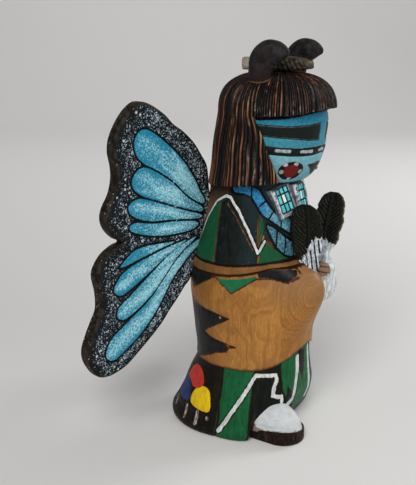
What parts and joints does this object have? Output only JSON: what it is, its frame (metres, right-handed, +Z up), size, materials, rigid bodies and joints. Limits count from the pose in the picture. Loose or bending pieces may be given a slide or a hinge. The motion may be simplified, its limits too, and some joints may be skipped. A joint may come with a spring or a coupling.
{
  "type": "fetish carving",
  "caption": "Standing carved and painted maiden with butterfly wings, masked face, fringed hair, wrapped blanket and feathers in hand; stands on its own base.",
  "frame": {"origin": "middle of the flat underside that the figure stands on", "axes": "+Z up along the figure, the figure faces -Y, its left hand is towards +X and the wings spread along X"},
  "size_m": [0.1458, 0.0816, 0.1706],
  "materials": {
    "carved_wood": "close-grained light wood, sealed with a thin satin varnish and hand painted in black, green, turquoise and white over burnt lines",
    "wing_paint": "thin wooden plate with carved cells brushed turquoise, black veins and a black border spattered with white"
  },
  "bodies": {
    "root": {"figure": "carved_wood", "wing_right": "wing_paint", "wing_left": "wing_paint"}
  },
  "joints": []
}
